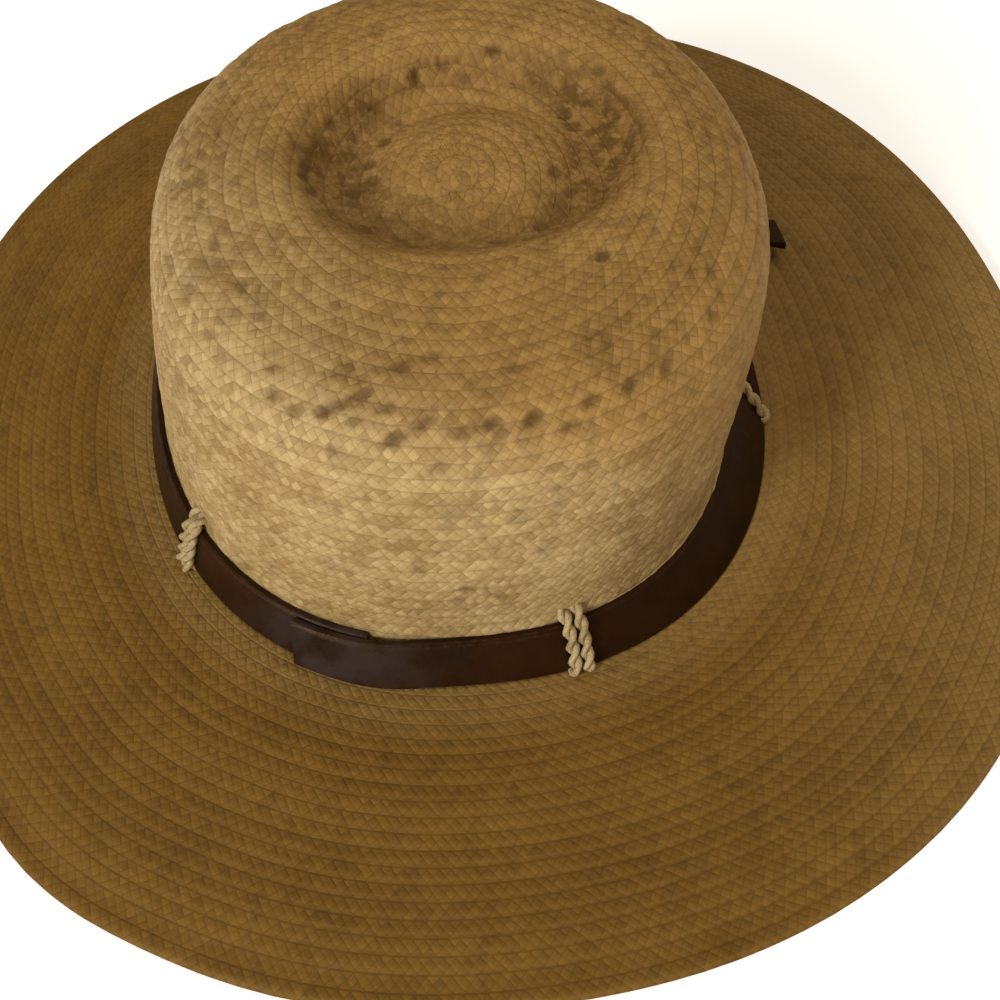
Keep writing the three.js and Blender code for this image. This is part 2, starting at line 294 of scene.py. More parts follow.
def crown_sections():
    """The section of each row of braid, from the middle of the top to the foot."""
    crest = dict(
        SHOULDER, z=TOP_START["z"], half_x=SHOULDER["half_x"] - ROUND, half_y=SHOULDER["half_y"] - ROUND
    )
    top, shoulder, wall, foot = CROWN_ROWS.values()
    rows = [between(TOP_START, crest, i / top) for i in range(top + 1)]
    rows += [on_shoulder(math.pi / 2 * (1 - i / shoulder)) for i in range(1, shoulder + 1)]
    rows += [between(SHOULDER, WAIST, i / wall) for i in range(1, wall + 1)]
    rows += [between(WAIST, FOOT, i / foot) for i in range(1, foot + 1)]
    return rows


def centre_of(section):
    """A section's middle, in metres in the hat's frame."""
    return (CROWN_MIDDLE + Vector((section["x"], section["y"], section["z"]))) * MM


def extrude_to(before, after):
    """Extrudes the selected ring from one section to the next: moves it, stretches it and tilts it."""
    step = centre_of(after) - centre_of(before)
    bpy.ops.mesh.extrude_edges_move(TRANSFORM_OT_translate={"value": step})
    stretch = (after["half_x"] / before["half_x"], after["half_y"] / before["half_y"], 1)
    bpy.ops.transform.resize(value=stretch, center_override=centre_of(after))
    for axis, name, sense in (("Y", "tilt_x", 1), ("X", "tilt_y", -1)):
        turn = math.atan(after[name]) - math.atan(before[name])
        if abs(turn) > LEAST_TURN:
            bpy.ops.transform.rotate(value=sense * turn, orient_axis=axis, center_override=centre_of(after))


sections = crown_sections()
top_middle = centre_of(sections[0])
bpy.ops.mesh.primitive_circle_add(vertices=COLUMNS, radius=MM, fill_type="TRIFAN", location=top_middle)
crown = bpy.context.object
crown.name = "crown_braid"
crown.scale = (sections[0]["half_x"], sections[0]["half_y"], 1)
settle(crown)
from_middle = np.linalg.norm(places(crown) - np.array(top_middle), axis=1)
with editing(crown, "VERT", from_middle > 0.5 * MM):
    bpy.ops.mesh.select_mode(type="EDGE")
    for before, after in zip(sections, sections[1:]):
        extrude_to(before, after)
print("crown net:", len(sections), "rings,", len(crown.data.vertices), "points")

# %% [markdown]
# ## Numbering the rings
# To work on single rows later, each point needs to know its ring and its column. A walk from the first ring
# outwards gives both: the number of steps is the ring, and the point that it was reached from has its column.

# %% Numbering
def number_rings(piece, first):
    """Ring and column of each point, walking outwards from the points in the list, the first ring."""
    near = [[] for _ in piece.data.vertices]
    for a, b in ((edge.vertices[0], edge.vertices[1]) for edge in piece.data.edges):
        near[a].append(b)
        near[b].append(a)
    ring, column = np.full(len(near), -1), np.full(len(near), -1)
    front = list(first)
    for i, point in enumerate(front):
        ring[point], column[point] = 0, i
    depth = 0
    while front:
        depth += 1
        ahead = []
        for point in front:
            for other in near[point]:
                if ring[other] < 0:
                    ring[other], column[other] = depth, column[point]
                    ahead.append(other)
        front = ahead
    return ring, column


def in_order(piece, points, middle):
    """The points of a ring in order round a middle, from straight behind the hat, anticlockwise."""
    where = places(piece)[points] - np.array(middle)
    turn = np.mod(np.arctan2(where[:, 1], where[:, 0]) - math.pi / 2, 2 * math.pi)
    return [points[i] for i in np.argsort(turn)]


hub = int(np.argmin(np.linalg.norm(places(crown) - np.array(top_middle), axis=1)))
first_ring = sorted({v for e in crown.data.edges if hub in e.vertices for v in e.vertices} - {hub})
uncut_ring, _ = number_rings(crown, first_ring)
ladder = [
    hub not in edge.vertices and uncut_ring[edge.vertices[0]] != uncut_ring[edge.vertices[1]]
    for edge in crown.data.edges
]
with editing(crown, "EDGE", ladder):
    bpy.ops.mesh.subdivide(number_cuts=STRIPS - 1)
first_ring = in_order(crown, first_ring, top_middle)
crown_ring, crown_column = number_rings(crown, first_ring)
crown_ring[hub], crown_column[hub] = 0, 0
print("crown:", crown_ring.max() + 1, "rings of", COLUMNS, "points")

# %% [markdown]
# ## Pressing the net over the block
# Shrinkwrap does the steaming and pressing. The rows across the top are dropped straight down, so they take
# the dish and its raised middle, and the rows of the shoulder and wall move to the nearest point of the
# block. Doing all of it by nearest point would crowd the rows on the slopes of the dish. Rows that fell on a
# slope are stretched, so the net is then relaxed and pressed again a few times, which shares the width out.

# %% Press the crown
RELAX = {"rounds": 4, "factor": 0.5, "repeat": 15, "to_row": 17}
STRAIGHT_DOWN = {
    "wrap_method": "PROJECT", "use_project_z": True, "use_positive_direction": False,
    "use_negative_direction": True,
}
TO_NEAREST = {"wrap_method": "NEAREST_SURFACEPOINT"}


def group_points(piece, name, chosen):
    """A vertex group of the points whose entry in the list is true."""
    group = piece.vertex_groups.new(name=name)
    group.add([int(i) for i in np.flatnonzero(chosen)], 1.0, "REPLACE")
    return name


def press(piece, block, way, group=""):
    """Moves a piece's points, or those of a group, on to a block."""
    return finish_with(piece, "SHRINKWRAP", target=block, vertex_group=group, **way)


on_top = crown_ring <= CROWN_ROWS["top"] * STRIPS
press(crown, crown_block, STRAIGHT_DOWN, group_points(crown, "top", on_top))
press(crown, crown_block, TO_NEAREST, group_points(crown, "wall", ~on_top))
for _ in range(RELAX["rounds"]):
    with editing(crown, "VERT", crown_ring < RELAX["to_row"] * STRIPS):
        bpy.ops.mesh.vertices_smooth(factor=RELAX["factor"], repeat=RELAX["repeat"])
    press(crown, crown_block, TO_NEAREST)
with editing(crown):
    bpy.ops.mesh.normals_make_consistent(inside=False)
tell_size(crown, "when pressed")

# %% [markdown]
# ## The brim's net
# The brim's rows run from the crown's foot to the edge, and the two outlines differ, so the net is made from
# two loops: one circle pulled on to the brim's inner edge and one on to its outer edge. A bridge between
# them, cut as many times as there are rows and strips, gives even rows everywhere. Both loops start outside
# the solid on their own side, so that the nearest point is the edge that is wanted.

# %% Brim net
BRIM_COLUMNS = 288
BRIM_ROWS = 21
EDGE_LOOP = {"place": Vector((0, 0, 2)), "half_x": 190, "half_y": 207, "tilt": 0}
INNER_LOOP = {"place": Vector((-4.9, -0.4, 8)), "half_x": 84, "half_y": 99, "tilt": 0.05}


def loop_on_brim(name, place, half_x, half_y, tilt):
    """A circle of points pulled on to the nearest edge of the brim."""
    bpy.ops.mesh.primitive_circle_add(
        vertices=BRIM_COLUMNS, radius=MM, fill_type="NOTHING", location=place * MM
    )
    loop = bpy.context.object
    loop.name = name
    loop.scale = (half_x, half_y, 1)
    loop.rotation_euler.y = tilt
    return press(settle(loop), brim_block, TO_NEAREST)


outer = loop_on_brim("outer_loop", **EDGE_LOOP)
brim = loop_on_brim("brim_braid", **INNER_LOOP)
inner_count = len(brim.data.vertices)
join([brim, outer], "brim_braid")
with editing(brim):
    bpy.ops.mesh.bridge_edge_loops(number_cuts=BRIM_ROWS * STRIPS - 1, interpolation="LINEAR")
    bpy.ops.mesh.select_all(action="SELECT")
    bpy.ops.mesh.normals_make_consistent(inside=False)
if sum(face.normal.z * face.area for face in brim.data.polygons) < 0:
    with editing(brim):
        bpy.ops.mesh.flip_normals()
brim_first = in_order(brim, list(range(inner_count)), INNER_LOOP["place"] * MM)
brim_ring, brim_column = number_rings(brim, brim_first)
last_ring = brim_ring.max()
print("brim:", last_ring + 1, "rings,", len(brim.data.vertices), "points")

# %% [markdown]
# The net is lifted and then dropped on to the top of the block, but for its first and last rings: those
# already lie on the block's edges, where a point that falls straight down could miss it.

# %% Press the brim
LIFT = 25 * MM
HIGHEST_BRIM = 20 * MM

lifted = (brim_ring > 0) & (brim_ring < last_ring)
with editing(brim, "VERT", lifted):
    bpy.ops.transform.translate(value=(0, 0, LIFT))
press(brim, brim_block, STRAIGHT_DOWN, group_points(brim, "field", lifted))
tell_size(brim, "when pressed")
print("points that missed the block:", int((places(brim)[:, 2] > HIGHEST_BRIM).sum()))

# %% [markdown]
# ## Counting the plaits
# Each row gets its own strip of a UV map, so that a pattern can follow the braid: V counts rows and the way
# across them, and U counts plaits along the row. A whole number of plaits goes round each row, worked out
# from its length, so the pattern closes at the back, and longer rows have more plaits instead of wider ones.

# %% Braid map
PLAIT = 3.3 * MM
FEWEST_PLAITS = 4


def plaits_of_rows(piece, ring, column, rows):
    """The whole number of plaits that goes round each row."""
    where = places(piece)
    plaits = []
    for row in range(rows):
        middle = np.flatnonzero(ring == min(row * STRIPS + STRIPS // 2, ring.max()))
        loop = where[middle[np.argsort(column[middle])]]
        length = np.linalg.norm(loop - np.roll(loop, 1, axis=0), axis=1).sum()
        plaits.append(max(FEWEST_PLAITS, round(length / PLAIT)))
    return plaits


def map_braid(piece, ring, column, columns, hub=None):
    """Writes the braid's UV map: plaits along a row, and rows with the share across them."""
    rows = int(math.ceil(ring.max() / STRIPS))
    plaits = plaits_of_rows(piece, ring, column, rows)
    uv = piece.data.uv_layers.new(name="braid")
    corners = np.zeros((len(piece.data.loops), 2))
    for face in piece.data.polygons:
        shares = {point: column[point] / columns for point in face.vertices if point != hub}
        row = min(min(ring[point] for point in shares) // STRIPS, rows - 1)
        if max(shares.values()) - min(shares.values()) > 0.5:
            shares = {point: share + (share < 0.5) for point, share in shares.items()}
        if hub in list(face.vertices):
            shares[hub] = np.mean(list(shares.values()))
        for corner, point in zip(face.loop_indices, face.vertices):
            corners[corner] = (shares[point] * plaits[row], ring[point] / STRIPS)
    uv.data.foreach_set("uv", corners.ravel())
    print(piece.name, "has", rows, "rows, with", min(plaits), "to", max(plaits), "plaits each")


map_braid(crown, crown_ring, crown_column, COLUMNS, hub)
map_braid(brim, brim_ring, brim_column, BRIM_COLUMNS)

# %% [markdown]
# ## Raising the rows
# A sewn row lies with one edge over the row before it. So of each row's four rings, the first is pushed in as
# the groove, the next two stand out as the back of the braid, and the last one is its raised edge. Shrink and
# Fatten moves points along their normals, which works all round a bent surface. A little seeded unevenness
# stops the rows from looking turned on a lathe.

# %% Rows in relief
ROW_RELIEF = [-0.26, 0.04, 0.16, 0.22]
UNEVEN = 0.16
CROWN_RELIEF = {"share": 0.75, "seed": 3, "from_ring": STRIPS, "to_ring": crown_ring.max() - 1}
BRIM_RELIEF = {"share": 0.5, "seed": 5, "from_ring": 1, "to_ring": last_ring - STRIPS}


def raise_rows(piece, ring, share, seed, from_ring, to_ring):
    """Pushes the rings of each row in or out by a share of the table, and adds a little unevenness."""
    field = (ring >= from_ring) & (ring <= to_ring)
    for strip, height in enumerate(ROW_RELIEF):
        with editing(piece, "VERT", field & (ring % STRIPS == strip)):
            bpy.ops.transform.shrink_fatten(value=height * share * MM)
    with editing(piece, "VERT", field):
        make_uneven(UNEVEN, seed, normal=1.0)
    tell_size(piece, "with its rows")


raise_rows(crown, crown_ring, **CROWN_RELIEF)
raise_rows(brim, brim_ring, **BRIM_RELIEF)

# %% [markdown]
# ## The open belt and the darkened dish
# Round the shoulder the braid is plaited loosely, and short slanting gaps show between the straws. The dish
# is pitted all round its raised middle, and darkened there, partly with dirt and partly as painted shade in
# its valley. The gaps and pits that show from the front are placed as they are on the real hat, and more and
# fainter ones are spread round the whole belt with a fixed seed. Each is a slanted oval of points pushed in,
# and a value in an attribute says how dark the finish makes it there: painted shade in the gaps and pits, and
# the stains' own colour.

# %% Gaps and pits
GAP = {"length": 3.8, "height": 2.1, "slant": math.radians(20), "depth": 0.8}
PIT = {"length": 3.2, "height": 2.6, "slant": 0.0, "depth": 0.6}
# Places in mm and strengths of the gaps in the belt, in the dish and of the single stains
BELT_GAPS = [
    (-22, -95, 99, 1.0), (-15, -94, 102, 0.9), (0, -96, 101, 1.0), (10, -96, 101, 1.0), (18, -97, 98, 0.7),
    (24, -93, 101, 0.8), (34, -90, 101, 0.9), (43, -85, 100, 0.8), (-38, -86, 101, 1.0), (-34, -86, 103, 0.9),
    (-29, -85, 104, 0.9), (-23, -89, 103, 0.7), (-45, -83, 99, 0.7), (-50, -78, 100, 0.8),
    (-49, -72, 103, 0.6),
    (-31, -77, 105, 0.6), (-19, -79, 105, 0.8), (-11, -77, 106, 0.6), (7, -84, 105, 0.6), (-7, -97, 100, 0.7),
    (2, -98, 99, 0.7), (-13, -101, 93, 0.5), (14, -102, 89, 0.5), (22, -101, 87, 0.5), (-57, -80, 91, 0.4),
    (-50, -85, 92, 0.4), (-31, -90, 101, 0.5), (30, -79, 105, 0.6), (29, -77, 106, 0.5), (-36, -93, 95, 0.4),
]
DISH_PITS = [
    (18, 42, 100, 1.0), (-6, 40, 96, 0.9), (-12, 27, 91, 0.6), (-16, 19, 91, 0.9), (-21, 10, 91, 0.8),
    (-21, 3, 92, 0.7), (-27, -1, 91, 0.7), (36, 22, 91, 1.0), (49, 14, 95, 0.9), (44, 22, 93, 0.6),
    (47, 27, 101, 0.6), (29, -4, 93, 0.8), (42, 0, 91, 0.7), (44, -9, 93, 0.7), (22, -23, 92, 1.0),
    (10, -28, 93, 0.6), (-39, -1, 99, 0.9), (-38, 3, 99, 0.8), (-37, -6, 98, 0.8), (-30, 23, 96, 0.6),
    (-18, 31, 94, 0.6), (9, 39, 94, 0.6), (3, 42, 97, 0.6), (38, 16, 91, 0.7), (60, 4, 103, 0.5),
]
STAINS = [(34, -51, 105, 1.0), (-10, -104, 45, 0.8), (-12, -104, 40, 0.4), (47, -38, 105, 0.4)]
# The belt goes once round from the left of its front, in courses of random gaps; turns in degrees
BELT = {"courses": 4, "start": -126, "front_end": -57, "first_step": (0, 6), "step": (3, 11), "chance": 0.8}
BELT_STRENGTH = {"faintest": 0.15, "front": 0.45, "elsewhere": 0.6}
SPOT = {"gain": 1.35, "reach": 8, "turn": 0.35}
DISH_RIM = {"x": 7, "y": 3.6, "half_x": 50.6, "half_y": 41}
DISH_ISLAND = {"x": 7.3, "y": 12, "half_x": 24, "half_y": 25}
# Where the dish's dirt and painted shade begin and how wide they fade, as shares of the rim's and the
# island's oval
SOIL_AND_SHADE_EDGE = {"rim": 1.04, "rim_fade": 0.16, "island": 0.95, "island_fade": 0.35}
SOIL_AND_SHADE_LEVEL = {"least": 0.40, "sides": 0.42, "sides_gain": 1.6, "right": 0.16}


def push_in(piece, depths):
    """Pushes points in by their depths in mm, in a few steps of like depth, each in one go."""
    steps = np.round(depths, 1)
    for step in sorted(set(steps) - {0}):
        with editing(piece, "VERT", steps == step):
            bpy.ops.transform.shrink_fatten(value=-step * MM)


def oval_on_skin(where, normals, centre, kind, turn):
    """How much each point belongs to a slanted oval on the skin: 1 at its middle and 0 outside it."""
    away = where - np.array(centre) * MM
    normal = normals[np.argmin(np.linalg.norm(away, axis=1))]
    along = np.cross((0, 0, 1), normal)
    along /= max(np.linalg.norm(along), 1e-6)
    up = np.cross(normal, along)
    a, b = away @ along, away @ up
    slant = kind["slant"] + turn
    long_way = (a * math.cos(slant) + b * math.sin(slant)) / (kind["length"] * MM)
    short_way = (b * math.cos(slant) - a * math.sin(slant)) / (kind["height"] * MM)
    near = np.linalg.norm(away, axis=1) < SPOT["reach"] * MM
    return np.where(near, np.clip(SPOT["gain"] * (1 - long_way ** 2 - short_way ** 2), 0, 1), 0)


def reach_in(where, oval):
    """How far points are from an oval's middle in plan, as a share of the oval."""
    x = (where[:, 0] / MM - oval["x"]) / oval["half_x"]
    y = (where[:, 1] / MM - oval["y"]) / oval["half_y"]
    return np.hypot(x, y)


dice = random.Random(11)
where, normals = places(crown), places(crown, "normal")
turns = np.degrees(np.arctan2(where[:, 1] - CROWN_MIDDLE.y * MM, where[:, 0] - CROWN_MIDDLE.x * MM))
spots = [(spot, GAP) for spot in BELT_GAPS] + [(spot, PIT) for spot in DISH_PITS + STAINS]
belt_start = CROWN_ROWS["top"] * STRIPS
for course in range(BELT["courses"]):
    turn = BELT["start"] + dice.uniform(*BELT["first_step"])
    while turn < BELT["start"] + 360:
        on_course = np.flatnonzero(crown_ring == belt_start + int((course + dice.uniform(0, 1)) * STRIPS))
        here = on_course[np.argmin(abs((turns[on_course] - turn + 180) % 360 - 180))]
        strongest = BELT_STRENGTH["front" if turn < BELT["front_end"] else "elsewhere"]
        if dice.random() < BELT["chance"]:
            spots.append(((*(where[here] / MM), dice.uniform(BELT_STRENGTH["faintest"], strongest)), GAP))
        turn += dice.uniform(*BELT["step"])

# How dark each spot is painted: painted shade in the gaps and pits, and the stains' own colour
depths, dark = np.zeros(len(where)), np.zeros(len(where))
for (*centre, strength), kind in spots:
    share = strength * oval_on_skin(where, normals, centre, kind, dice.uniform(-SPOT["turn"], SPOT["turn"]))
    depths, dark = np.maximum(depths, share * kind["depth"]), np.maximum(dark, share)
push_in(crown, depths)

# The dish is darkened, partly with dirt and partly as painted shade in its valley, more at its sides and
# right
from_rim = np.clip((SOIL_AND_SHADE_EDGE["rim"] - reach_in(where, DISH_RIM)) / SOIL_AND_SHADE_EDGE["rim_fade"], 0, 1)
from_island = np.clip((reach_in(where, DISH_ISLAND) - SOIL_AND_SHADE_EDGE["island"]) / SOIL_AND_SHADE_EDGE["island_fade"], 0, 1)
sideways = abs(where[:, 0] / MM - DISH_RIM["x"]) / DISH_RIM["half_x"]
at_sides = SOIL_AND_SHADE_LEVEL["sides"] * np.clip(sideways * SOIL_AND_SHADE_LEVEL["sides_gain"], 0, 1)
at_right = SOIL_AND_SHADE_LEVEL["right"] * (where[:, 0] > DISH_RIM["x"] * MM)
soil_and_shade = from_rim * from_island * (crown_ring < belt_start) * (SOIL_AND_SHADE_LEVEL["least"] + at_sides + at_right)
for name, values in (("dark", dark), ("soil_and_shade", soil_and_shade)):
    crown.data.attributes.new(name, "FLOAT", "POINT").data.foreach_set("value", values.astype(np.float32))
print("gaps, pits and stains:", len(spots), "pushed in:", int((depths > 0.05).sum()), "points")

# %% [markdown]
# ## Giving the straw its thickness
# Until here crown and brim are single skins. Solidify gives them the 2 mm of the real braid, inwards from the
# face that shows. On the brim the last rows are thicker, because the edge of the real brim is turned over and
# sewn again, so a vertex group tells Solidify how thick to be. Points of the hem that come out under the
# table are then pressed flat on it, as the hat's own weight does.

# %% Thickness
STRAW = 2.0 * MM
HEM = {"thickness": 2.8 * MM, "rings": 5}
HEM_SHARES = {0: 0.32, 1: 0.85}
STRAW_SHARP = 50

finish_with(crown, "SOLIDIFY", thickness=STRAW, offset=-1, use_even_offset=False)
thick = brim.vertex_groups.new(name="thick")
for ring in range(last_ring + 1):
    from_edge = last_ring - ring
    share = HEM_SHARES.get(from_edge, 1 if from_edge <= HEM["rings"] else STRAW / HEM["thickness"])
    thick.add([int(i) for i in np.flatnonzero(brim_ring == ring)], share, "REPLACE")
finish_with(
    brim, "SOLIDIFY", thickness=HEM["thickness"], offset=-1, use_even_offset=False, vertex_group="thick"
)
with editing(brim, "VERT", places(brim)[:, 2] < 0):
    bpy.ops.transform.resize(value=(1, 1, 0), center_override=(0, 0, 0))
for piece in (crown, brim):
    shade(piece, STRAW_SHARP)
    triangles = sum(len(face.vertices) - 2 for face in piece.data.polygons)
    tell_size(piece, "with", triangles, "triangles")
for block in (crown_block, brim_block):
    bpy.data.objects.remove(block)

# %% [markdown]
# ## The leather band
# The strap is cut from 2 mm leather. The solid strap already has its lap at the front left, so its copy only
# needs what a knife and wear leave: softly rounded edges, and a surface that isn't perfectly even.

# %% Band
BAND_ROUND = 0.45 * MM
LEATHER_UNEVEN = 0.10
LEATHER_SHARP = math.radians(28)
LEATHER_SHADE = 45
WEAR_REACH = 1.6 * MM
WEAR_STEPS = 8


def sharp_places(piece):
    """Places along the sharp edges of a piece."""
    with editing(piece, "EDGE", [False] * len(piece.data.edges)):
        bpy.ops.mesh.edges_select_sharp(sharpness=LEATHER_SHARP)
    where = places(piece)
    found = []
    for edge in piece.data.edges:
        if edge.select:
            a, b = (where[i] for i in edge.vertices)
            found += [a + (b - a) * k / WEAR_STEPS for k in range(WEAR_STEPS + 1)]
    return found


def mark_wear(piece, edges):
    """Gives each point its nearness to a sharp edge, from 0 to 1."""
    tree = KDTree(len(edges))
    for i, place in enumerate(edges):
        tree.insert(place, i)
    tree.balance()
    near = [max(0.0, 1 - tree.find(point.co)[2] / WEAR_REACH) for point in piece.data.vertices]
    piece.data.attributes.new("edge", "FLOAT", "POINT").data.foreach_set("value", near)


band = copy_of_node("hat_band", "leather_band")
band_edges = sharp_places(band)
finish_with(band, "BEVEL", width=BAND_ROUND, segments=2, limit_method="ANGLE", angle_limit=LEATHER_SHARP)
finish_with(band, "SUBSURF", levels=2, render_levels=2)
with editing(band):
    make_uneven(LEATHER_UNEVEN, seed=7, normal=1.0)
    bpy.ops.mesh.vertices_smooth(factor=0.5, repeat=2)
shade(band, LEATHER_SHADE)
mark_wear(band, band_edges)
print("band:", len(band.data.polygons), "faces")

# %% [markdown]
# ## The raffia keepers
# Each keeper is raffia twisted by hand into two-ply string, passed out of the crown above the band, over the
# leather and back into the straw at the brim. One ply is a small circle beside an axis, extruded a step at a
# time and turned about the axis each time. The second ply is its copy, turned half round. A Curve modifier
# then bends the straight string along its way over the band.

# %% Keepers
OVAL = 2.24
PLY = {"radius": 1.1, "offset": 0.95, "points": 8, "step": 0.6, "turn": math.radians(22)}
RAFFIA_UNEVEN = 0.12
FIRST_KEEPER_SEED = 20
# The way of a string: share of the way from foot to waist, how far out from the straw, how far up
KEEPER_WAY = [
    (1.0, -1.3, 3.3), (1.0, 0.6, 2.9), (1.0, 2.3, 1.7), (0.96, 3.6, 0.4), (0.8, 4.1, 0), (0.5, 4.0, 0),
    (0.25, 4.1, 0), (0.1, 3.7, 0), (0.04, 2.6, 0.1), (0.0, 1.3, -0.1),
]
KEEPERS = [
    {"node": "keeper_front", "low": -76.5, "high": -73.5, "strings": (-1.9, 1.9)},
    {"node": "keeper_left", "low": -148, "high": -147, "strings": (-1.3, 1.3)},
    {"node": "keeper_right", "low": -15.5, "high": -8.5, "strings": (0,)},
    {"node": "keeper_back_right", "low": 58, "high": 59, "strings": (-1.4, 1.4)},
    {"node": "keeper_back_left", "low": 131, "high": 130, "strings": (-1.4, 1.4)},
]
# A small turn in radians, to find which way the band runs at a place
NUDGE = 0.01


def oval_place(section, angle, out, up):
    """A place on a section of the crown, moved outwards and up, in mm."""
    half_x, half_y = section["half_x"] + out, section["half_y"] + out
    c, s = math.cos(angle), math.sin(angle)
    reach = (abs(c) ** OVAL + abs(s) ** OVAL) ** (-1 / OVAL)
    x, y = half_x * reach * c, half_y * reach * s
    lean = section["tilt_x"] * x + section["tilt_y"] * y
    return CROWN_MIDDLE + Vector((section["x"] + x, section["y"] + y, section["z"] + lean + up))


def string_way(keeper, aside):
    """The points that one string of a keeper follows, moved aside along the band."""
    points = []
    for share, out, up in KEEPER_WAY:
        angle = math.radians(keeper["low"] + (keeper["high"] - keeper["low"]) * share)
        low, high = oval_place(FOOT, angle, out, up), oval_place(WAIST, angle, out, up)
        along = oval_place(FOOT, angle + NUDGE, out, up) - low
        points.append((low.lerp(high, share) + along.normalized() * aside) * MM)
    return points


def bezier_through(points):
    """A smooth curve through points, for a string to follow."""
    bpy.ops.curve.primitive_bezier_curve_add(location=(0, 0, 0))
    way = bpy.context.object
    way.name = "way"
    spline = way.data.splines[0]
    spline.bezier_points.add(len(points) - 2)
    for knot, point in zip(spline.bezier_points, points):
        knot.co = point
        knot.handle_left_type = knot.handle_right_type = "AUTO"
    way.data.resolution_u = 12
    return way


def twisted_ply(name, length, start_turn):
    """One ply of a string along X: a circle beside the axis, extruded and turned step by step."""
    bpy.ops.mesh.primitive_circle_add(
        vertices=PLY["points"], radius=PLY["radius"] * MM, fill_type="NGON", rotation=(0, math.pi / 2, 0),
        location=(0, 0, PLY["offset"] * MM),
    )
    ply = bpy.context.object
    ply.name = name
    steps = math.ceil(length / (PLY["step"] * MM))
    with editing(settle(ply), "FACE"):
        bpy.ops.transform.rotate(value=-start_turn, orient_axis="X", center_override=(0, 0, 0))
        for _ in range(steps):
            bpy.ops.mesh.extrude_region_move(TRANSFORM_OT_translate={"value": (length / steps, 0, 0)})
            bpy.ops.transform.rotate(value=-PLY["turn"], orient_axis="X", center_override=(0, 0, 0))
        bpy.ops.mesh.select_all(action="SELECT")
        bpy.ops.mesh.normals_make_consistent(inside=False)
    return ply


def make_keeper(keeper, seed):
    """A keeper of one or two twisted strings, bent over the band."""
    plies = []
    for k, aside in enumerate(keeper["strings"]):
        way = bezier_through(string_way(keeper, aside))
        length = way.data.splines[0].calc_length()
        for half in (0, 1):
            ply = twisted_ply(f"ply_{k}_{half}", length, half * math.pi + k)
            plies.append(finish_with(ply, "CURVE", object=way, deform_axis="POS_X"))
        bpy.data.objects.remove(way)
    piece = join(plies, keeper["node"] + "_raffia")
    with editing(piece):
        make_uneven(RAFFIA_UNEVEN, seed)
    take(piece)
    bpy.ops.object.shade_smooth()
    tell_size(piece, "with", len(piece.data.polygons), "faces")
    return piece


keeper_pieces = [make_keeper(keeper, FIRST_KEEPER_SEED + i) for i, keeper in enumerate(KEEPERS)]

# %% [markdown]
# ## The leather tie
# At the back right the strap is closed by a tie: two flat ends cut on the slant, and a small knot over them.
# An end is a flat block, divided, narrowed where it leaves the knot and cut off by a slanting plane, and a
# Simple Deform bend lets it droop to the brim. The knot is a rounded core with two flat turns round it.
# The tie is modelled with its back at X = 0 and X outwards, and then set on the band.

# %% Tie
TIE = {"angle": math.radians(29), "share": 0.5, "out": 3.3, "depth": 8, "width": 13, "height": 10}
TIE_ENDS = [
    {"turn": -42, "length": 35, "width": 11.5, "droop": 9, "cut": 24},
    {"turn": 36, "length": 26, "width": 7.5, "droop": 14, "cut": -32},
]
# The end is narrower near the knot: up to which share of its length, and by how much
TIE_NARROW = [(0.15, 0.6), (0.35, 0.85)]
TIE_THICKNESS = 2.2
TIE_DIVISIONS = 5
TIE_ROUND = 0.4 * MM
TIE_ROUND_ANGLE = math.radians(40)
TIE_ROOT = 5.2
TIE_CORE = 0.9
TIE_TURNS = [{"tilt": 12, "wide": 2.0}, {"tilt": -38, "wide": 1.5}]
TIE_CORD = {"radius": 1.15, "deep": 0.8, "high": 0.92}
TIE_UNEVEN = 0.15


def tie_end(turn, length, width, droop, cut):
    """A flat end of the tie, cut on the slant and drooping away from the knot."""
    bpy.ops.mesh.primitive_cube_add(size=MM)
    end = bpy.context.object
    end.scale = (length, width, TIE_THICKNESS)
    end.location = (length / 2 * MM, 0, 0)
    with editing(settle(end)):
        bpy.ops.mesh.subdivide(number_cuts=TIE_DIVISIONS)
    along = places(end)[:, 0] / MM
    for reach, narrowing in TIE_NARROW:
        with editing(end, "VERT", along < reach * length):
            bpy.ops.transform.resize(value=(1, narrowing, 1), center_override=(0, 0, 0))
    slope = math.tan(math.radians(cut))
    cut_place = ((length - abs(slope) * width / 2) * MM, 0, 0)
    with editing(end):
        bpy.ops.mesh.bisect(plane_co=cut_place, plane_no=(1, slope, 0), use_fill=True, clear_outer=True)
    finish_with(end, "BEVEL", width=TIE_ROUND, segments=2, limit_method="ANGLE", angle_limit=TIE_ROUND_ANGLE)
    finish_with(end, "SIMPLE_DEFORM", deform_method="BEND", deform_axis="Y", angle=math.radians(droop))
    end.rotation_euler.z = math.radians(turn)
    end.location.x = TIE_ROOT * MM
    return settle(end)


def tie_turn(tilt, wide):
    """One flat turn of leather round the knot."""
    bpy.ops.mesh.primitive_torus_add(
        major_segments=40, minor_segments=12, major_radius=TIE["height"] / 2 * MM,
        minor_radius=TIE_CORD["radius"] * MM, rotation=(math.pi / 2, 0, 0),
    )
    loop = settle(bpy.context.object)
    loop.scale = (TIE["depth"] / TIE["height"] * TIE_CORD["deep"], wide, TIE_CORD["high"])
    loop.rotation_euler.x = math.radians(tilt)
    loop.location.x = TIE["depth"] / 2 * MM
    return settle(loop)


